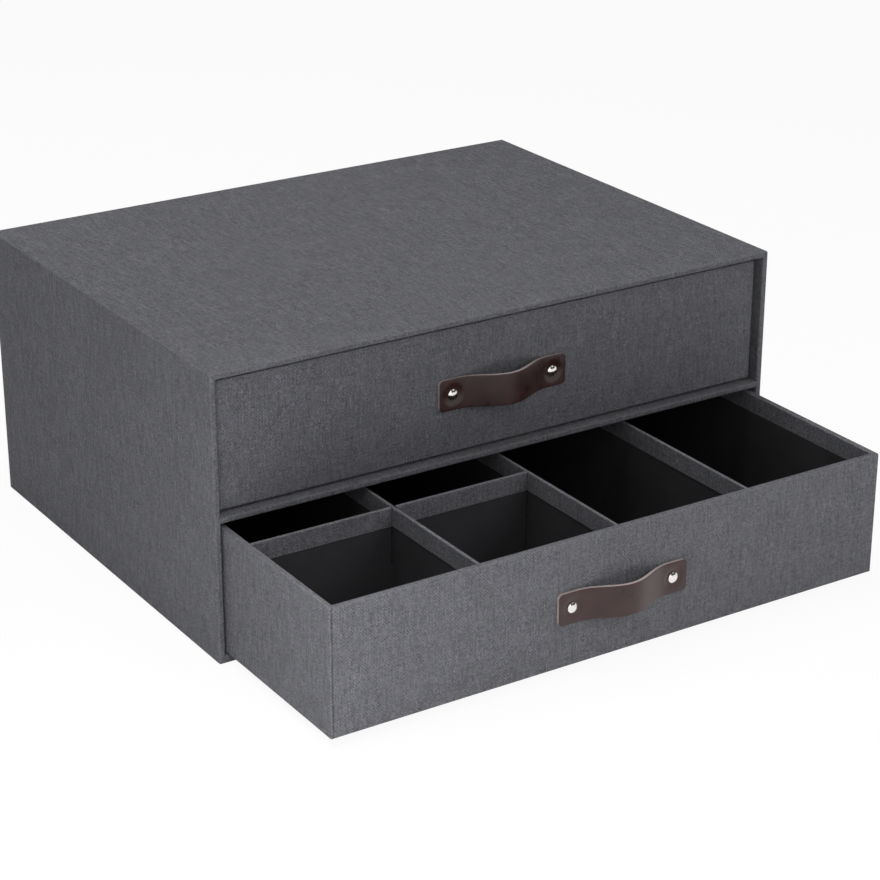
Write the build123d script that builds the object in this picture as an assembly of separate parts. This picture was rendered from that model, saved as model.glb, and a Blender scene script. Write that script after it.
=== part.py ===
from build123d import *
from math import atan2, degrees, sin, radians
import os

# Two-drawer storage box of covered fibreboard: a case with two bays, a drawer in each, leather strap
# handles, and slotted dividers in the lower drawer. Millimetres, +Z up, front towards -Y.
# The origin is the middle of the case's footprint, on the surface that it stands on.

# Case
case_width = 330.0
case_depth = 250.0
case_height = 150.0

# Sheet stock
board = 2.4                 # boards of the case and the drawers
base_board = 2.9            # stiffer bottom board of the case
cover = 0.45                # grey canvas covering
lining = 0.35               # black lining paper
bend_share = 2.2            # outer radius of the covering round a board's edge, in cover thicknesses
mouth_turn_in = 15.0        # covering turned into the mouth of the case
turn_under = 15.0           # covering turned onto hidden faces, under the pasted sheets
sheet_inset = 3.0           # pasted sheets stop this far inside the edges that they cover

# Fit of the drawers in their bays
drawer_recess = 4.8         # shut drawer's front, behind the case's front edge
side_gap = 1.0
seat_gap = 0.8
top_gap = 2.4
back_gap = 0.5
opening = 104.0             # how far the lower drawer stands open

# Drawer coverings
rim_band = 10.0             # covering turned down inside the rim
seam_inset = 1.0            # front covering's edge, inside the drawer's front corners

# Strap handles
strap_length = 75.5         # end to end, as fitted
strap_width = 16.6
strap_thickness = 2.0
strap_corner = 2.5
tab_length = 11.0           # flat ends; the middle between them bows out
bow_height = 9.0            # finger room under the middle
handle_drop = 1.0           # strap's middle, below the middle of the drawer's front
rivet_inset = 8.0           # strap's end to rivet's centre
rivet_head = 5.8
rivet_dome = 1.5
rivet_shank = 3.0
shank_gap = 0.1             # radial clearance of the shank in its holes
cap_diameter = 8.0
cap_thickness = 1.0
cap_edge = 0.4

# Dividers of the lower drawer
divider_board = 1.0
divider_band = 10.0         # edging's depth on each face
divider_bend_share = 1.6    # outer radius of the edging's folds, in cover thicknesses
divider_drop = 1.0          # top of the dividers, below the rim
divider_fit = 0.2           # clearance at the ends
slot_gap = 0.6              # clearance on each side of a half-lap slot
front_row = 75.0            # front wall to cross divider
columns = 4
lap_share = 0.5             # depth of each half-lap slot, as a share of the divider's height

# One overrun serves all cuts, and edges are found within one share of the covering's thickness
overrun = 2.0
match_share = 0.1

# Derived sizes of the case
bend = bend_share * cover
fill = max(cover, lining)
half_width = case_width / 2
front = -case_depth / 2
back = case_depth / 2
board_x = half_width - cover
board_front = front + cover
board_back = back - 2 * cover
board_bottom = 2 * cover
board_top = case_height - cover
wall_x = board_x - board
wall_back = board_back - board
floor_z = board_bottom + base_board
ceiling_z = board_top - board
bay_x = wall_x - fill
bay_back = wall_back - fill
bay_floor = floor_z + fill
bay_ceiling = ceiling_z - fill
shelf_thickness = board + 2 * cover
bay_height = (bay_ceiling - bay_floor - shelf_thickness) / 2
shelf_bottom = bay_floor + bay_height
shelf_top = shelf_bottom + shelf_thickness
turn_in_end = front + mouth_turn_in

# Derived sizes of a drawer, in its own frame: front face at y = 0, underside at z = 0
shut_front = front + drawer_recess
drawer_x = bay_x - side_gap
drawer_depth = bay_back - back_gap - shut_front
drawer_height = bay_height - seat_gap - top_gap
face_x = drawer_x - seam_inset
tray_x = drawer_x - cover - board
tray_front = 2 * cover + board
tray_back = drawer_depth - cover - board
tray_floor = 2 * cover + board
tray_top = drawer_height - cover
inner_x = tray_x - fill
inner_front = tray_front + fill
inner_back = tray_back - fill
inner_floor = tray_floor + lining
band_bottom = drawer_height - rim_band
handle_z = drawer_height / 2 - handle_drop
bow_length = strap_length - 2 * tab_length
rivet_spacing = strap_length - 2 * rivet_inset
shank_radius = rivet_shank / 2
hole_radius = shank_radius + shank_gap

# Derived sizes of the dividers
divider_top = drawer_height - divider_drop
divider_thickness = divider_board + 2 * cover
divider_bend = divider_bend_share * cover
divider_lap_z = divider_top - lap_share * (divider_top - inner_floor)
column_pitch = 2 * inner_x / columns
cross_y = inner_front + front_row + divider_thickness / 2


def block(x, y, z):
    """Box between two limits on each axis."""
    limits = (x, y, z)
    centre = [(low + high) / 2 for low, high in limits]
    size = [high - low for low, high in limits]
    return Pos(*centre) * Box(*size)


def both(limit):
    """Limits that lie evenly about zero."""
    return (-limit, limit)


def along_y(radius, x, y, z):
    """Round bar between two limits along Y."""
    middle = Pos(x, (y[0] + y[1]) / 2, z)
    return middle * Rot(X=90) * Cylinder(radius, y[1] - y[0])


def edges_at(solid, places):
    """Edges whose middles lie at one of the given places; None leaves an axis free."""
    tolerance = match_share * cover
    found = ShapeList()
    for edge in solid.edges():
        middle = edge.center()
        at = (middle.X, middle.Y, middle.Z)
        for place in places:
            if all(want is None or abs(have - want) < tolerance for have, want in zip(at, place)):
                found.append(edge)
                break
    return found


def shown_edges(solid):
    """All edges of a box but the lowest four, which never show."""
    return solid.edges() - solid.edges().group_by(Axis.Z)[0]


# Case boards and linings
def case_boards():
    depth = (board_front, board_back)
    height = (floor_z, ceiling_z)
    shelf = (shelf_bottom + cover, shelf_top - cover)
    return {
        "case_bottom_board": block(both(board_x), depth, (board_bottom, floor_z)),
        "case_top_board": block(both(board_x), depth, (ceiling_z, board_top)),
        "case_left_board": block((-board_x, -wall_x), depth, height),
        "case_right_board": block((wall_x, board_x), depth, height),
        "case_back_board": block(both(wall_x), (wall_back, board_back), height),
        "shelf_board": block(both(wall_x), (board_front, wall_back), shelf),
    }


def case_covering():
    """Sheet round all six sides, with windows at the mouth, back and base, turned into the mouth."""
    outside = block(both(half_width), (front, back - cover), (cover, case_height))
    outside = fillet(shown_edges(outside), bend)
    sheet = outside - block(both(board_x), (board_front, board_back), (board_bottom, board_top))
    mouth_x = wall_x - cover
    mouth = (floor_z + cover, ceiling_z - cover)
    turned_in = block(both(wall_x), (board_front, turn_in_end), (floor_z, ceiling_z))
    sheet += turned_in
    sheet -= block(both(mouth_x), (front - overrun, turn_in_end + overrun), mouth)
    margin_x = half_width - turn_under
    margin_z = (turn_under, case_height - turn_under)
    sheet -= block(both(margin_x), (board_back - overrun, back), margin_z)
    margin_y = (front + turn_under, back - turn_under)
    sheet -= block(both(margin_x), margin_y, (0, board_bottom + overrun))
    lips = [(x, front, None) for x in (-mouth_x, mouth_x)]
    lips += [(None, front, z) for z in mouth]
    sheet = fillet(edges_at(sheet, lips), bend)
    return sheet - block(both(wall_x), (front - overrun, back), (shelf_bottom, shelf_top))


def shelf_covering():
    """Sheet folded round the shelf's front edge, over its top and underside."""
    outside = block(both(wall_x), (front, wall_back), (shelf_bottom, shelf_top))
    outside = fillet(edges_at(outside, [(None, front, shelf_bottom), (None, front, shelf_top)]), bend)
    inside = block(both(wall_x), (board_front, wall_back), (shelf_bottom + cover, shelf_top - cover))
    return outside - inside


def bay_lining(outer_z, inner_z):
    """Paper on the walls of one bay, behind the turned-in covering."""
    outside = block(both(wall_x), (turn_in_end, wall_back), outer_z)
    inside = block(both(wall_x - lining), (turn_in_end - overrun, wall_back - lining), inner_z)
    return outside - inside


def case_sheets():
    sheet_x = half_width - sheet_inset
    sheet_y = (front + sheet_inset, back - sheet_inset)
    sheet_z = (sheet_inset, case_height - sheet_inset)
    return {
        "case_covering": case_covering(),
        "case_back_sheet": block(both(sheet_x), (back - cover, back), sheet_z),
        "case_base_sheet": block(both(sheet_x), sheet_y, (0, cover)),
        "shelf_covering": shelf_covering(),
        "upper_bay_lining": bay_lining((shelf_top, ceiling_z), (shelf_top - overrun, ceiling_z - lining)),
        "lower_bay_lining": bay_lining((floor_z, shelf_bottom), (floor_z + lining, shelf_bottom + overrun)),
    }


# Drawers
def rivet_places():
    return [Pos(side * rivet_spacing / 2, 0, handle_z) for side in (-1, 1)]


def shank_holes(solid):
    """Cut the two rivet holes through a piece of the drawer's front."""
    for place in rivet_places():
        solid -= place * along_y(hole_radius, 0, (-bow_height, inner_front + overrun), 0)
    return solid


def drawer_boards():
    sides_y = (2 * cover, drawer_depth - cover)
    height = (tray_floor, tray_top)
    board_edge = drawer_x - cover
    return {
        "front_board": shank_holes(block(both(tray_x), (2 * cover, tray_front), height)),
        "back_board": block(both(tray_x), (tray_back, drawer_depth - cover), height),
        "left_board": block((-board_edge, -tray_x), sides_y, height),
        "right_board": block((tray_x, board_edge), sides_y, height),
        "bottom_board": block(both(board_edge), sides_y, (2 * cover, tray_floor)),
    }


def side_covering():
    """Sheet round the left side, back and right side, over the rim and down inside it."""
    rim_x = tray_x - cover
    rim_y = (tray_front + cover, tray_back - cover)
    above = drawer_height + overrun
    outside = block(both(drawer_x), (cover, drawer_depth), (cover, drawer_height))
    outside = fillet(shown_edges(outside), bend)
    tray = outside - block(both(rim_x), rim_y, (inner_floor, above))
    lips = [(-rim_x, None, drawer_height), (rim_x, None, drawer_height)]
    lips += [(0, y, drawer_height) for y in rim_y]
    sheet = fillet(edges_at(tray, lips), bend)
    for plain in drawer_boards().values():
        sheet -= plain
    sheet -= block(both(tray_x), (tray_front, tray_back), (tray_floor, band_bottom))
    sheet -= block(both(rim_x), (2 * cover, rim_y[0]), (tray_floor, above))
    sheet -= block(both(rim_x), (0, 2 * cover), (tray_top, above))
    margin_x = drawer_x - turn_under
    sheet -= block(both(margin_x), (0, 2 * cover), (0, above))
    sheet -= block(both(margin_x), (0, drawer_depth - turn_under), (0, 2 * cover))
    sheet -= block(both(face_x), (0, turn_under), (0, 2 * cover))
    return sheet


def front_covering():
    """Sheet over the front face and its rim, down inside it, and turned under the drawer."""
    rim_x = tray_x - cover
    band_back = tray_front + cover
    face = block(both(face_x), (0, cover), (cover, drawer_height))
    under = block(both(face_x), (0, turn_under), (cover, 2 * cover))
    rim = block(both(rim_x), (0, band_back), (drawer_height - cover, drawer_height))
    band = block(both(rim_x), (tray_front, band_back), (band_bottom, drawer_height))
    sheet = face + under + rim + band
    folds = [(0, 0, cover), (0, 0, drawer_height), (0, band_back, drawer_height)]
    sheet = fillet(edges_at(sheet, folds), bend)
    return shank_holes(sheet)


def wall_lining():
    """Paper ring on the inner walls, from the floor up to the turned-down covering."""
    height = (inner_floor, band_bottom)
    ring = block(both(tray_x), (tray_front, tray_back), height)
    ring -= block(
        both(tray_x - lining),
        (tray_front + lining, tray_back - lining),
        (inner_floor - overrun, band_bottom + overrun),
    )
    return shank_holes(ring)


def drawer_sheets():
    sheet_x = drawer_x - sheet_inset
    sheet_y = (sheet_inset, drawer_depth - sheet_inset)
    return {
        "side_covering": side_covering(),
        "front_covering": front_covering(),
        "base_sheet": block(both(sheet_x), sheet_y, (0, cover)),
        "wall_lining": wall_lining(),
        "floor_lining": block(both(tray_x), (tray_front, tray_back), (tray_floor, inner_floor)),
    }


def strap_handle():
    """Leather strap: flat ends, and a middle that bows out on four equal arcs."""
    quarter = bow_length / 2
    swing = 2 * degrees(atan2(bow_height, quarter))
    radius = quarter / 2 / sin(radians(swing))
    middle_y = -strap_thickness / 2
    left_end = Line((-strap_length / 2, middle_y), (-quarter, middle_y))
    rise = JernArc(left_end @ 1, left_end % 1, radius, -swing)
    crown = JernArc(rise @ 1, rise % 1, radius, 2 * swing)
    fall = JernArc(crown @ 1, crown % 1, radius, -swing)
    right_end = Line(fall @ 1, (strap_length / 2, middle_y))
    path = Curve() + [left_end, rise, crown, fall, right_end]
    strap = extrude(trace(path, strap_thickness), strap_width)
    strap = Pos(0, 0, handle_z - strap_width / 2) * strap
    end_x = strap_length / 2
    end_z = (handle_z - strap_width / 2, handle_z + strap_width / 2)
    corners = [(x, middle_y, z) for x in (-end_x, end_x) for z in end_z]
    strap = fillet(edges_at(strap, corners), strap_corner)
    return shank_holes(strap)


def rivet():
    """Domed head on the strap, with a shank through the drawer's front."""
    head_y = -strap_thickness
    crown = (0, head_y - rivet_dome)
    rim = (rivet_head / 2, head_y)
    shank_end = inner_front + cap_thickness
    dome = TangentArc(crown, rim, tangent=(1, 0))
    stem = Polyline(rim, (shank_radius, head_y), (shank_radius, shank_end), (0, shank_end), crown)
    return revolve(make_face(Curve() + [dome, stem]), Axis.Y)


def rivet_cap():
    """Flat cap that the shank is closed over, inside the drawer."""
    outer_face = inner_front + cap_thickness
    radius = cap_diameter / 2
    section = Polyline(
        (hole_radius, inner_front),
        (radius, inner_front),
        (radius, outer_face - cap_edge),
        (radius - cap_edge, outer_face),
        (hole_radius, outer_face),
        (hole_radius, inner_front),
    )
    return revolve(make_face(section), Axis.Y)


def handle():
    return {
        "strap_handle": strap_handle(),
        "handle_rivets": Compound(children=[place * rivet() for place in rivet_places()]),
        "rivet_caps": Compound(children=[place * rivet_cap() for place in rivet_places()]),
    }


def drawer():
    return {**drawer_boards(), **drawer_sheets(), **handle()}


# Dividers
def divider_pair(board_size, edging_size, axis):
    """Thin board and the covering strip folded over its top edge, both along one axis."""
    plain = block(*board_size, (inner_floor, divider_top - cover))
    edging = block(*edging_size, (divider_top - divider_band, divider_top))
    folds = edging.edges().filter_by(axis).group_by(Axis.Z)[-1]
    return plain, fillet(folds, divider_bend) - plain


def long_divider(x):
    """Divider from the front wall to the back wall."""
    run = (inner_front + divider_fit, inner_back - divider_fit)
    board_x_limits = (x - divider_board / 2, x + divider_board / 2)
    edging_x_limits = (x - divider_thickness / 2, x + divider_thickness / 2)
    return divider_pair((board_x_limits, run), (edging_x_limits, run), Axis.Y)


def cross_divider(left_x, middle_x):
    """Divider across the two left columns, slotted from above for the left divider."""
    run = (-inner_x + divider_fit, middle_x - divider_thickness / 2 - divider_fit)
    board_y_limits = (cross_y - divider_board / 2, cross_y + divider_board / 2)
    edging_y_limits = (cross_y - divider_thickness / 2, cross_y + divider_thickness / 2)
    plain, edging = divider_pair((run, board_y_limits), (run, edging_y_limits), Axis.X)
    slot_half = divider_thickness / 2 + slot_gap
    slot_x = (left_x - slot_half, left_x + slot_half)
    slot = block(slot_x, edging_y_limits, (divider_lap_z, divider_top + overrun))
    return plain - slot, edging - slot


def dividers():
    left_x, middle_x, right_x = [column_pitch * (place - columns / 2) for place in (1, 2, 3)]
    nodes = {}
    for name, x in (("left", left_x), ("middle", middle_x), ("right", right_x)):
        nodes[f"divider_{name}_board"], nodes[f"divider_{name}_edging"] = long_divider(x)
    nodes["divider_cross_board"], nodes["divider_cross_edging"] = cross_divider(left_x, middle_x)
    slot_half = divider_board / 2 + slot_gap
    slot = block(
        (left_x - divider_thickness, left_x + divider_thickness),
        (cross_y - slot_half, cross_y + slot_half),
        (inner_floor - overrun, divider_lap_z),
    )
    nodes["divider_left_board"] -= slot
    return nodes


# The whole box
def place_drawer(nodes, prefix, front_y, under_z):
    return {prefix + name: Pos(0, front_y, under_z) * solid for name, solid in nodes.items()}


upper_z = shelf_top + seat_gap
lower_z = bay_floor + seat_gap
lower_front = shut_front - opening

parts = {**case_boards(), **case_sheets()}
parts.update(place_drawer(drawer(), "upper_drawer_", shut_front, upper_z))
parts.update(place_drawer(drawer(), "lower_drawer_", lower_front, lower_z))
parts.update(place_drawer(dividers(), "", lower_front, lower_z))

os.makedirs("parts", exist_ok=True)
for name, solid in parts.items():
    export_step(solid, f"parts/{name}.step")
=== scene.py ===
from math import atan, cos, pi, radians, sin, sqrt, tau

import bmesh
import bpy
from mathutils import Matrix, Vector


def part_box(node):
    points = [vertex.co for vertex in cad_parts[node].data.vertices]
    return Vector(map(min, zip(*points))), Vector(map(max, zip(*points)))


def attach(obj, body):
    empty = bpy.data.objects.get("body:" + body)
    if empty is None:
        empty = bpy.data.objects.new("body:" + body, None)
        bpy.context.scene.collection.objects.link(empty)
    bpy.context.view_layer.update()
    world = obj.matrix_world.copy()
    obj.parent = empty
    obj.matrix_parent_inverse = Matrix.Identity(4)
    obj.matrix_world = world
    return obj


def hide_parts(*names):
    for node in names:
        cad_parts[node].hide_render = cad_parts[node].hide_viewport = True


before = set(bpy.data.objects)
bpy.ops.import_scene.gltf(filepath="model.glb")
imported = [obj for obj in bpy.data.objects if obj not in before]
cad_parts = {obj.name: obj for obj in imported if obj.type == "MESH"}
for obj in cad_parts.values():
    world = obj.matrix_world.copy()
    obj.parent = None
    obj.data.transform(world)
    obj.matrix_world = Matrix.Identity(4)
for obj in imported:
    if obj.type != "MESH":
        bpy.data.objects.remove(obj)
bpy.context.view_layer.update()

# Looks of the two-drawer box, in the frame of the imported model. Lengths are in metres, angles in
# degrees and lamp powers in watts. A pair of limits or results runs from its first to its second.
MM = 0.001

# Camera, fitted to the box's corners in the photograph
camera_place = (-0.64459, -1.06773, 0.56471)
camera_azimuth = -32.698
camera_elevation = 23.003
camera_roll = 0.070
camera_lens = 101.087            # millimetres, like the sensor
sensor_width = 36.0
camera_near = 0.01

# Stage and light
floor_size = 20.0
floor_drop = 0.05 * MM           # how far the floor lies below the box
wall_height = 3.0                # pale walls at the floor's edges, behind low views
floor_colour = (0.92, 0.92, 0.92, 1)
floor_white_share = 0.93         # part of the floor that looks plain white; the rest takes shadows
world_colour = (1.0, 1.0, 1.0, 1)
world_strength = 0.04
# name, place, point aimed at, width and height, power, spread, whether reflections show it
lamps = (
    ("overhead_softbox", (-0.29, 0.20, 1.50), (-0.29, 0.20, 0.0), (1.0, 1.0), 16.2, 180, True),
    ("front_panel", (-0.70, -1.34, 0.95), (0.0, -0.12, 0.45), (1.1, 1.6), 6.4, 180, True),
    ("top_panel", (0.80, -1.00, 1.50), (0.0, -0.12, 0.10), (1.0, 1.0), 2.8, 180, True),
    ("left_floor_softbox", (-0.46, -0.50, 0.34), (-0.46, -0.50, 0.0), (0.5, 0.5), 2.5, 110, False),
    ("right_floor_softbox", (0.26, -0.80, 0.40), (0.26, -0.80, 0.0), (0.5, 0.5), 2.3, 180, False),
)

# Patterns that several materials share
noise_limits = (0.3, 0.7)        # most values of a noise lie between these
cloud_size = 22.0 * MM           # broad drift of the tone
cloud_detail = 3.0
fibre_detail = 4.0
fibre_raggedness = 0.7

# Canvas covering: sizes in the weave
warp_pitch = 0.79 * MM
weft_pitch = 0.85 * MM
thread_wander = 0.22 * MM        # how far threads stray from straight
wander_size = 5.0 * MM
slub_length = 12.0 * MM          # how far a thread keeps its shade
fleck_size = 1.15 * MM           # pale flecks that stand out of the weave
patch_size = 9.0 * MM            # patches of stronger and weaker contrast
weave_relief = 0.34 * MM
weave_detail = 1.0               # of the noise in slubs and flecks
thread_spread = sqrt(3)          # step in the slubs' noise from one thread to the next
# Its colours and gloss
covering_low = (0.0335, 0.0340, 0.0376, 1)
covering_high = (0.290, 0.2932, 0.3230, 1)
# pale colour on folds, partly wear of the covering and partly a painted highlight
fold_wear_and_highlight_colour = (0.24, 0.24, 0.25, 1)
covering_specular = 0.25
covering_roughness = (0.88, 0.72)
roughness_limits = (0.2, 0.8)    # shades of the threads that the roughness runs between
# What each part of the weave adds to the tone, about a middle tone
middle_tone = 0.5
crossing_share = 0.29            # which thread is on top
knot_share = 0.28                # each crossing by itself
thread_share = 0.22              # each thread by itself
cloud_share = 0.12
fleck_share = 0.24
patch_contrast = (0.8, 1.2)
# How far parts stand up, in reliefs of the weave
knot_rise = 0.5
thread_rise = 1.1
fleck_rise = 1.3
# Where a part begins and where it is complete
slub_limits = (0.25, 0.75)
top_limits = (0.0, 0.75)         # how far on top the warp is when its shade takes over
fleck_limits = (0.57, 0.69)
facing_limit = sqrt(0.5)         # part of a face's normal above which it faces along an axis
fold_limits = (0.98, 0.80)       # largest part of the normal, from a flat face to a fold
# how far folds are painted paler, as wear and as a painted highlight
fold_wear_and_highlight_share = 0.25
seam_shadow_width = 0.35 * MM           # painted shadow along the cut edge of a drawer's front covering
seam_shadow_share = 0.5

# Black lining, black card and raw board
lining_low = (0.0305, 0.0295, 0.0325, 1)
lining_high = (0.0425, 0.0411, 0.0452, 1)
lining_roughness = 0.72
card_low = (0.0320, 0.0309, 0.0342, 1)
card_high = (0.0450, 0.0436, 0.0482, 1)
card_roughness = 0.78
board_low = (0.22, 0.18, 0.14, 1)
board_high = (0.38, 0.32, 0.26, 1)
board_roughness = 0.9
paper_specular = 0.3
paper_roughness_change = 0.06
paper_fibre_size = 1.2 * MM
paper_fibre_share = 0.6          # part of the fibres in the tone; the rest is cloud
paper_relief = 0.03 * MM

# Leather straps: shapes
strap_thickness = 2.0 * MM
strap_corner = 2.5 * MM
strap_edge = 0.25 * MM           # rounding of the edges
tab_length = 11.0 * MM           # flat end beside the bow
rivet_inset = 8.0 * MM           # from the strap's end to the middle of a rivet
dimple_depth = 0.6 * MM          # leather pressed in under a rivet's head
dimple_floor = 2.9 * MM          # radius of the dimple's flat middle
dimple_radius = 6.6 * MM
bow_shares = {"upper_drawer": 1.0, "lower_drawer": 0.89}    # bow of each strap, against the CAD's
bow_steps = 200
end_steps = 8
face_steps = 28
edge_steps = 4
# Their looks, on the grain side, the cut edges and the flesh side
grain, cut, flesh = range(3)     # places in a strap's list of materials
leather_low = (0.0262, 0.0094, 0.0088, 1)
leather_high = (0.044, 0.0165, 0.0153, 1)
leather_specular = 0.5
leather_roughness = (0.27, 0.35)
leather_cloud_size = 9.0 * MM
grain_size = 0.75 * MM
pore_size = grain_size / 3
pore_share = 0.3                 # part of the pores in relief and tone
grain_relief = 0.035 * MM
cut_low = (0.32, 0.265, 0.260, 1)
cut_high = (0.56, 0.480, 0.470, 1)
flesh_low = (0.07, 0.047, 0.040, 1)
flesh_high = (0.12, 0.085, 0.072, 1)
raw_specular = 0.2
raw_roughness = (0.95, 0.8)
raw_fibre_size = 0.35 * MM
raw_relief = 0.12 * MM

# Rivets and their caps
rivet_dome = 1.5 * MM            # height of the head, with its rim
rivet_rim = 0.35 * MM            # edge of the head, below the dome
rivet_shank = 1.5 * MM           # radius, like the cap's hole
cap_hole = 1.6 * MM
cap_round = 0.4 * MM
dome_steps = 14
dome_tip = 0.1                   # where the dome's first ring lies, in steps
cap_steps = 5
turned_sides = 40
nickel_colour = (0.88, 0.84, 0.82, 1)
nickel_dulling = 0.86
nickel_roughness = (0.10, 0.20)
tint_size = 2.5 * MM
mark_size = 0.5 * MM             # faint handling marks
mark_relief = 0.004 * MM


class Shader:
    """One material's node tree, with short calls that add a node and give back its output."""

    def __init__(self, name, **surface):
        self.material = bpy.data.materials.new(name)
        self.material.use_nodes = True
        self.tree = self.material.node_tree
        self.surface = self.tree.nodes["Principled BSDF"]
        for socket, value in surface.items():
            self.surface.inputs[socket.replace("_", " ")].default_value = value
        where = self.tree.nodes.new("ShaderNodeTexCoord")
        self.place = where.outputs["Object"]
        self.normal = where.outputs["Normal"]

    def put(self, socket, value):
        if isinstance(value, bpy.types.NodeSocket):
            self.tree.links.new(value, socket)
        else:
            socket.default_value = value

    def node(self, kind, inputs, **settings):
        made = self.tree.nodes.new(kind)
        for key, value in settings.items():
            setattr(made, key, value)
        for socket, value in inputs.items():
            self.put(made.inputs[socket], value)
        return made

    def math(self, operation, *values):
        return self.node("ShaderNodeMath", dict(enumerate(values)), operation=operation).outputs[0]

    def split(self, vector):
        return self.node("ShaderNodeSeparateXYZ", {0: vector}).outputs

    def join(self, x, y, z=0.0):
        return self.node("ShaderNodeCombineXYZ", {0: x, 1: y, 2: z}).outputs[0]

    def noise(self, vector, size, detail=2.0, roughness=0.5, output="Fac"):
        """Soft random pattern whose features are about the given size."""
        inputs = {"Vector": vector, "Scale": 1 / size, "Detail": detail, "Roughness": roughness}
        return self.node("ShaderNodeTexNoise", inputs).outputs[output]

    def fibres(self, size):
        return self.noise(self.place, size, fibre_detail, fibre_raggedness)

    def cells(self, vector, size):
        inputs = {"Vector": vector, "Scale": 1 / size}
        return self.node("ShaderNodeTexVoronoi", inputs, feature="SMOOTH_F1").outputs["Distance"]

    def span(self, value, limits, results=(0.0, 1.0)):
        """Smooth step from one result to the other while a value runs between two limits."""
        sockets = ("Value", "From Min", "From Max", "To Min", "To Max")
        inputs = dict(zip(sockets, (value, *limits, *results)))
        made = self.node("ShaderNodeMapRange", inputs, interpolation_type="SMOOTHSTEP")
        return made.outputs["Result"]

    # A mix node has one pair of inputs for each kind of value, so they go by number
    def choose(self, share, first, second):
        """Number between the first, for a share of 0, and the second, for 1."""
        inputs = {0: share, 2: first, 3: second}
        return self.node("ShaderNodeMix", inputs, data_type="FLOAT").outputs[0]

    def blend(self, share, first, second):
        """Colour between the first, for a share of 0, and the second, for 1."""
        inputs = {0: share, 6: first, 7: second}
        return self.node("ShaderNodeMix", inputs, data_type="RGBA").outputs[2]

    def bump(self, height, relief):
        made = self.node("ShaderNodeBump", {"Height": height, "Distance": relief})
        self.put(self.surface.inputs["Normal"], made.outputs["Normal"])

    def colour(self, value):
        self.put(self.surface.inputs["Base Color"], value)

    def roughness(self, value):
        self.put(self.surface.inputs["Roughness"], value)


# Materials
def canvas_covering(name, seam=None):
    """Grey plain weave, laid square on every face, with uneven threads and paler folds: wear and
    painted highlight.

    A seam is how far left and right of the middle the sheet ends, with a painted shadow on its cut
    edges.
    """
    shader = Shader(name, Specular_IOR_Level=covering_specular)
    x, y, z = shader.split(shader.place)
    sides = [shader.math("ABSOLUTE", side) for side in shader.split(shader.normal)]
    on_x = shader.math("GREATER_THAN", sides[0], facing_limit)
    on_z = shader.math("GREATER_THAN", sides[2], facing_limit)

    def count(place, stray, pitch):
        """Place on a face, counted in threads."""
        strayed = shader.math("MULTIPLY_ADD", stray, thread_wander, place)
        return shader.math("DIVIDE", strayed, pitch)

    def wave(thread):
        return shader.math("SINE", shader.math("MULTIPLY", thread, pi))

    stray_x, stray_y, _ = shader.split(shader.noise(shader.place, wander_size, output="Color"))
    warp_at = count(shader.choose(on_x, x, y), stray_x, warp_pitch)
    weft_at = count(shader.choose(on_z, z, y), stray_y, weft_pitch)
    warp_wave = wave(warp_at)
    weft_wave = wave(weft_at)
    crossed = shader.math("MULTIPLY", warp_wave, weft_wave)
    over = shader.math("MULTIPLY_ADD", crossed, 0.5, 0.5)      # from -1..1 to 0..1
    under = shader.math("SUBTRACT", 1.0, over)
    warp_top = shader.math("MULTIPLY", shader.math("ABSOLUTE", warp_wave), over)
    weft_top = shader.math("MULTIPLY", shader.math("ABSOLUTE", weft_wave), under)
    relief = shader.math("MAXIMUM", warp_top, weft_top)

    def slub(thread, run, pitch):
        """Shade of one thread, which drifts along its length."""
        at = shader.join(
            shader.math("MULTIPLY", shader.math("FLOOR", thread), thread_spread),
            shader.math("MULTIPLY", run, pitch / slub_length),
        )
        return shader.span(shader.noise(at, 1.0, weave_detail), slub_limits)

    warp_slub = slub(warp_at, weft_at, weft_pitch)
    weft_slub = slub(weft_at, warp_at, warp_pitch)
    threads = shader.choose(shader.span(over, top_limits), weft_slub, warp_slub)
    crossing = shader.join(
        shader.math("FLOOR", warp_at),
        shader.math("FLOOR", weft_at),
        shader.math("ADD", on_x, on_z),
    )
    knot = shader.node("ShaderNodeTexWhiteNoise", {"Vector": crossing}).outputs["Value"]
    cloud = shader.noise(shader.place, cloud_size, cloud_detail)
    fleck = shader.span(shader.noise(shader.place, fleck_size, weave_detail), fleck_limits)
    patch = shader.span(shader.noise(shader.place, patch_size), noise_limits, patch_contrast)

    tone = middle_tone
    parts = (
        (over, crossing_share),
        (knot, knot_share),
        (threads, thread_share),
        (cloud, cloud_share),
    )
    for part, share in parts:
        change = shader.math("SUBTRACT", part, middle_tone)
        tone = shader.math("MULTIPLY_ADD", change, share, tone)
    change = shader.math("SUBTRACT", tone, middle_tone)
    tone = shader.math("MULTIPLY_ADD", change, patch, middle_tone)
    tone = shader.math("MULTIPLY_ADD", shader.math("MULTIPLY", fleck, patch), fleck_share, tone)
    shade = shader.blend(tone, covering_low, covering_high)
    # Folds painted paler: partly wear, partly a painted highlight on the rounded edges
    flatness = shader.math("MAXIMUM", shader.math("MAXIMUM", sides[0], sides[1]), sides[2])
    fold = shader.span(flatness, fold_limits, (0.0, fold_wear_and_highlight_share))
    shade = shader.blend(fold, shade, fold_wear_and_highlight_colour)
    # Painted shadow along the cut edges, where the front sheet lies over the side sheet
    if seam:
        seam_shadow_limits = (seam - seam_shadow_width, seam - seam_shadow_width / 2)
        edge = shader.span(shader.math("ABSOLUTE", x), seam_shadow_limits, (0.0, seam_shadow_share))
        shade = shader.blend(edge, shade, covering_low)
    shader.colour(shade)
    shader.roughness(shader.span(threads, roughness_limits, covering_roughness))

    height = relief
    for part, rise in ((knot, knot_rise), (threads, thread_rise), (fleck, fleck_rise)):
        height = shader.math("MULTIPLY_ADD", part, rise, height)
    shader.bump(height, weave_relief)
    return shader.material


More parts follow.
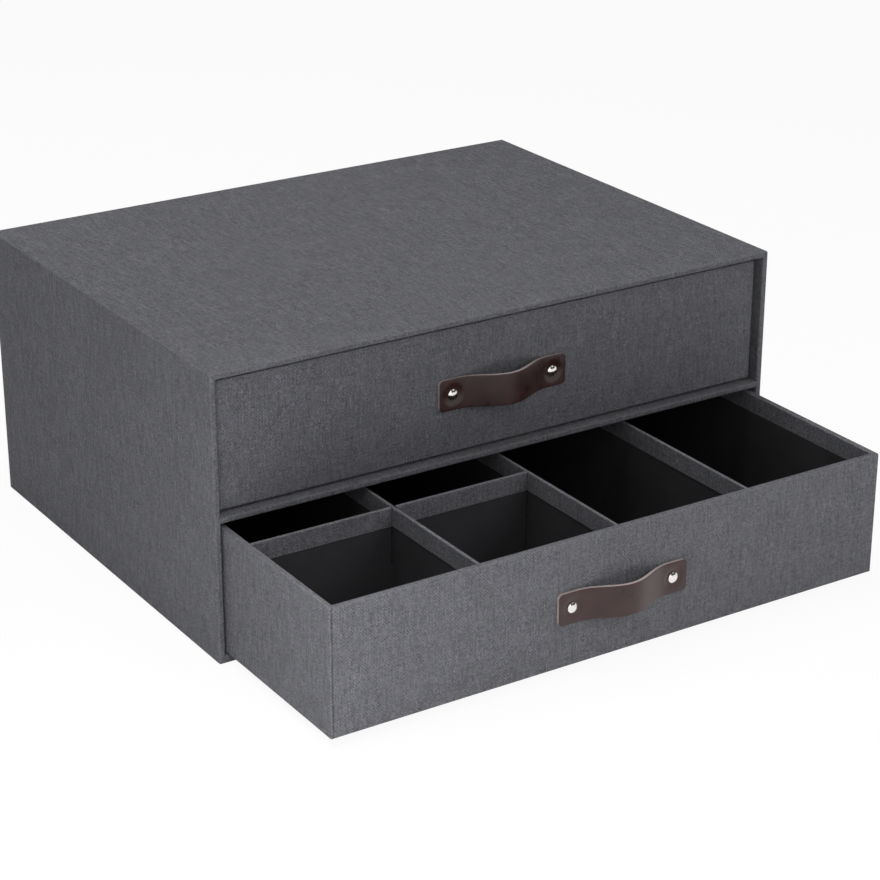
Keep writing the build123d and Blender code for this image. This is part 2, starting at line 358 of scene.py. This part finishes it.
def paper(name, low, high, roughness):
    """Matt paper or card with short fibres."""
    shader = Shader(name, Specular_IOR_Level=paper_specular)
    fibres = shader.fibres(paper_fibre_size)
    cloud = shader.math("MULTIPLY", shader.noise(shader.place, cloud_size), 1 - paper_fibre_share)
    tone = shader.math("MULTIPLY_ADD", fibres, paper_fibre_share, cloud)
    shader.colour(shader.blend(shader.span(tone, noise_limits), low, high))
    results = (roughness - paper_roughness_change, roughness + paper_roughness_change)
    shader.roughness(shader.span(fibres, noise_limits, results))
    shader.bump(fibres, paper_relief)
    return shader.material


def leather_face():
    """Smooth finished side of the strap: fine pebbled grain under a soft gloss."""
    shader = Shader("strap_leather", Specular_IOR_Level=leather_specular)
    cell = shader.cells(shader.place, grain_size)
    pores = shader.math("MULTIPLY", shader.noise(shader.place, pore_size), pore_share)
    cloud = shader.noise(shader.place, leather_cloud_size, cloud_detail)
    height = shader.math("MULTIPLY_ADD", cell, pore_share - 1, pores)
    tone = shader.math("MULTIPLY_ADD", cloud, 1 - pore_share, pores)
    shader.colour(shader.blend(shader.span(tone, noise_limits), leather_low, leather_high))
    shader.roughness(shader.span(cloud, noise_limits, leather_roughness))
    shader.bump(height, grain_relief)
    return shader.material


def leather_fibre(name, low, high):
    """Cut edge or flesh side of the leather: paler, matt, fibrous."""
    shader = Shader(name, Specular_IOR_Level=raw_specular)
    fibres = shader.fibres(raw_fibre_size)
    shader.colour(shader.blend(shader.span(fibres, noise_limits), low, high))
    shader.roughness(shader.span(fibres, noise_limits, raw_roughness))
    shader.bump(fibres, raw_relief)
    return shader.material


def nickel():
    """Polished plating with faint handling marks."""
    shader = Shader("nickel", Metallic=1.0)
    marks = shader.noise(shader.place, mark_size, cloud_detail)
    tint = shader.noise(shader.place, tint_size)
    dull = (*(nickel_dulling * part for part in nickel_colour[:3]), 1)
    shader.colour(shader.blend(tint, dull, nickel_colour))
    shader.roughness(shader.span(marks, noise_limits, nickel_roughness))
    shader.bump(marks, mark_relief)
    return shader.material


def white_floor():
    """Matt floor that takes shadows, mixed with plain white for the camera and reflections."""
    shader = Shader("floor")
    shader.tree.nodes.remove(shader.surface)
    matt = shader.node("ShaderNodeBsdfDiffuse", {"Color": floor_colour}).outputs[0]
    white = shader.node("ShaderNodeEmission", {}).outputs[0]
    rays = shader.node("ShaderNodeLightPath", {}).outputs
    seen = rays["Is Camera Ray"]
    for ray in ("Is Glossy Ray", "Is Transmission Ray"):
        seen = shader.math("MAXIMUM", seen, rays[ray])
    share = shader.math("MULTIPLY", seen, floor_white_share)
    both = shader.node("ShaderNodeMixShader", {0: share, 1: matt, 2: white}).outputs[0]
    shader.put(shader.tree.nodes["Material Output"].inputs["Surface"], both)
    return shader.material


# Meshes
def add_object(name, data):
    made = bpy.data.objects.new(name, data)
    bpy.context.scene.collection.objects.link(made)
    return made


def piece(name, mesh, body, slot, materials, *nodes):
    """Finished object that rides on a body and stands for the named CAD nodes."""
    bmesh.ops.recalc_face_normals(mesh, faces=mesh.faces)
    data = bpy.data.meshes.new(name)
    mesh.to_mesh(data)
    mesh.free()
    made = add_object(name, data)
    for material in materials:
        data.materials.append(material)
    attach(made, body)
    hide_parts(*nodes)


def join_rings(mesh, rings, finishes):
    """Smooth faces from each ring of points to the next, with one finish for each strip."""
    count = len(finishes)
    for first, second in zip(rings, rings[1:]):
        for place, finish in enumerate(finishes):
            following = (place + 1) % count
            corners = (first[place], first[following], second[following], second[place])
            face = mesh.faces.new(corners)
            face.material_index = finish
            face.smooth = True


def bow_line(half, bow):
    """Middle line of a strap, end to end: places along X, how far out, and slope."""
    reach = half - tab_length
    line = []
    for step in range(bow_steps + 1):
        x = half * (2 * step / bow_steps - 1)
        turn = min(abs(x) / reach, 1.0) * pi
        slope = -bow * pi / reach / 2 * sin(turn)
        line.append((x, bow / 2 * (1 + cos(turn)), atan(slope if x > 0 else -slope)))
    return line


def strap_section(half_width, half_thickness):
    """Points round a strap's section as (across, out), from the outer face on, and each finish."""
    reach, rise = half_width - strap_edge, half_thickness - strap_edge
    points = [(reach * (2 * step / face_steps - 1), half_thickness) for step in range(face_steps)]
    finishes = [grain] * face_steps
    # side, face, finish of the rounded edge, finish of the flat that follows it
    edges = ((1, 1, grain, cut), (1, -1, cut, flesh), (-1, -1, cut, cut), (-1, 1, grain, grain))
    for side, face, finish, next_finish in edges:
        for step in range(edge_steps + 1):
            turn = pi / 2 * step / edge_steps
            if side * face < 0:
                turn = pi / 2 - turn
            across = side * (reach + strap_edge * sin(turn))
            points.append((across, face * (rise + strap_edge * cos(turn))))
            finishes.append(finish)
        finishes[-1] = next_finish
    return points[:-1], finishes[:-1]


def rounded_off(inset, radius):
    """How much a rounded corner takes away, at a distance in from the end."""
    if inset >= radius:
        return 0.0
    return radius - sqrt(radius ** 2 - (radius - inset) ** 2)


def dimple(reach):
    """How far the leather is pressed in, at a distance from the middle of a rivet."""
    share = min(max((dimple_radius - reach) / (dimple_radius - dimple_floor), 0.0), 1.0)
    return dimple_depth * share * share * (3 - 2 * share)


def strap(drawer, materials):
    """Leather strap with rounded edges, pressed in under its rivets and bowed out between them."""
    node = f"{drawer}_strap_handle"
    low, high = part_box(node)
    half = (high.x - low.x) / 2
    half_width = (high.z - low.z) / 2
    middle = (low + high) / 2
    bow = (high.y - low.y - strap_thickness) * bow_shares[drawer]
    rivet_places = [side * (half - rivet_inset) for side in (-1, 1)]
    turns = [pi / 2 * step / end_steps for step in range(end_steps)]
    ends = [half - strap_corner * (1 - cos(turn)) for turn in turns]
    line = [(-x, 0.0, 0.0) for x in ends]
    line += [place for place in bow_line(half, bow) if abs(place[0]) < half - strap_corner]
    line += [(x, 0.0, 0.0) for x in reversed(ends)]
    mesh = bmesh.new()
    rings = []
    for x, out, slope in line:
        inset = half - abs(x)
        width = half_width - rounded_off(inset, strap_corner)
        thickness = strap_thickness / 2 - rounded_off(inset, strap_edge)
        points, finishes = strap_section(width, thickness)
        ring = []
        for across, rise in points:
            at_x = x - sin(slope) * rise
            at_out = strap_thickness / 2 + out + cos(slope) * rise
            if rise > 0:
                for rivet in rivet_places:
                    at_out -= dimple(sqrt((at_x - rivet) ** 2 + across ** 2))
            ring.append(mesh.verts.new((middle.x + at_x, high.y - at_out, middle.z + across)))
        rings.append(ring)
    join_rings(mesh, rings, finishes)
    for ring in (rings[0], rings[-1]):
        mesh.faces.new(ring).material_index = cut
    piece(f"{drawer}_strap", mesh, drawer, "strap_leather", materials, node)


def turned(name, profile, centres, body, materials, node):
    """Round metal pieces turned about Y from one profile of (radius, place along Y).

    A profile that ends where it begins makes a ring, and any other is closed by flat ends.
    """
    turns = [tau * side / turned_sides for side in range(turned_sides)]
    is_ring = profile[0] == profile[-1]
    mesh = bmesh.new()
    for centre_x, centre_z in centres:
        rings = []
        for radius, place in profile[:-1] if is_ring else profile:
            around = [(radius * cos(turn), radius * sin(turn)) for turn in turns]
            rings.append([mesh.verts.new((centre_x + x, place, centre_z + z)) for x, z in around])
        if is_ring:
            rings.append(rings[0])
        else:
            mesh.faces.new(rings[0])
            mesh.faces.new(rings[-1])
        join_rings(mesh, rings, [0] * turned_sides)
    piece(name, mesh, body, "nickel", materials, node)


def round_pair(node):
    """Box, radius and the two middles, as (x, z), of a node of two round pieces side by side."""
    low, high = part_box(node)
    radius = (high.z - low.z) / 2
    middle = (low + high) / 2
    return low, high, radius, [(x, middle.z) for x in (low.x + radius, high.x - radius)]


def rivets(drawer, materials):
    """Domed heads with a crisp rim, sunk with the leather, on shanks that end flush in the caps."""
    node = f"{drawer}_handle_rivets"
    low, high, radius, centres = round_pair(node)
    top = low.y + dimple_depth
    seat = top + rivet_dome
    rise = rivet_dome - rivet_rim
    ball = (radius ** 2 + rise ** 2) / rise / 2
    widest = atan(radius / (ball - rise))
    turns = [widest * max(step, dome_tip) / dome_steps for step in range(dome_steps + 1)]
    profile = [(ball * sin(turn), top + ball * (1 - cos(turn))) for turn in turns]
    profile += [
        (radius, seat - rivet_rim / 2),
        (radius - rivet_rim / 2, seat),
        (rivet_shank, seat),
        (rivet_shank, high.y),
    ]
    turned(f"{drawer}_rivets", profile, centres, drawer, materials, node)


def caps(drawer, materials):
    """Flat caps inside the drawer, with rounded edges."""
    node = f"{drawer}_rivet_caps"
    low, high, radius, centres = round_pair(node)
    profile = [(cap_hole, low.y), (radius - rivet_rim / 2, low.y)]
    for step in range(cap_steps + 1):
        turn = pi / 2 * step / cap_steps
        out = radius - cap_round + cap_round * cos(turn)
        profile.append((out, high.y - cap_round + cap_round * sin(turn)))
    profile += [(cap_hole, high.y), (cap_hole, low.y)]
    turned(f"{drawer}_caps", profile, centres, drawer, materials, node)


# Stage
def add_floor():
    mesh = bpy.data.meshes.new("floor")
    half = floor_size / 2
    corners = [(-half, -half), (half, -half), (half, half), (-half, half)]
    points = [(x, y, z) for z in (-floor_drop, wall_height) for x, y in corners]
    walls = [(side, (side + 1) % 4, (side + 1) % 4 + 4, side + 4) for side in range(4)]
    mesh.from_pydata(points, [], [(0, 1, 2, 3)] + walls)
    floor = add_object("floor", mesh)
    mesh.materials.append(white_floor())


def add_lamps():
    for name, place, aim, size, power, spread, shiny in lamps:
        light = bpy.data.lights.new(name, "AREA")
        light.shape = "RECTANGLE"
        light.size, light.size_y = size
        light.energy = power
        light.spread = radians(spread)
        lamp = add_object(name, light)
        lamp.location = place
        lamp.rotation_euler = (Vector(aim) - Vector(place)).to_track_quat("-Z", "Y").to_euler()
        lamp.visible_camera = False
        lamp.visible_glossy = shiny


def add_world():
    world = bpy.data.worlds.new("studio")
    world.use_nodes = True
    background = world.node_tree.nodes["Background"]
    background.inputs["Color"].default_value = world_colour
    background.inputs["Strength"].default_value = world_strength
    bpy.context.scene.world = world


def add_camera():
    data = bpy.data.cameras.new("camera")
    data.lens = camera_lens
    data.sensor_width = sensor_width
    data.clip_start = camera_near
    camera = add_object("camera", data)
    turn = Matrix.Rotation(radians(camera_azimuth), 4, "Z")
    tilt = Matrix.Rotation(radians(90 - camera_elevation), 4, "X")
    roll = Matrix.Rotation(radians(camera_roll), 4, "Z")
    camera.matrix_world = Matrix.Translation(camera_place) @ turn @ tilt @ roll
    bpy.context.scene.camera = camera


# The whole box
front_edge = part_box("lower_drawer_front_covering")[1].x
covering = canvas_covering("canvas_covering")
# front sheets with a painted shadow along their cut edges
front_covering = canvas_covering("canvas_front_covering", seam=front_edge)
lining = paper("black_lining", lining_low, lining_high, lining_roughness)
card = paper("black_board", card_low, card_high, card_roughness)
board = paper("board", board_low, board_high, board_roughness)
plating = nickel()
strap_materials = [
    leather_face(),
    leather_fibre("strap_cut_edge", cut_low, cut_high),
    leather_fibre("strap_flesh_side", flesh_low, flesh_high),
]


def finish_of(name):
    """Material of a CAD node, by its name."""
    if name.endswith("front_covering"):
        return front_covering
    if name.endswith(("covering", "edging", "sheet")):
        return covering
    if name.endswith("lining"):
        return lining
    if name.startswith("divider"):
        return card
    if name.endswith(("rivets", "caps")):
        return plating
    return board


for name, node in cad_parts.items():
    node.data.materials.clear()
    node.data.materials.append(finish_of(name))

for drawer in ("upper_drawer", "lower_drawer"):
    strap(drawer, strap_materials)
    rivets(drawer, [plating])
    caps(drawer, [plating])

add_floor()
add_lamps()
add_world()
add_camera()
bpy.context.scene.view_settings.view_transform = "Standard"
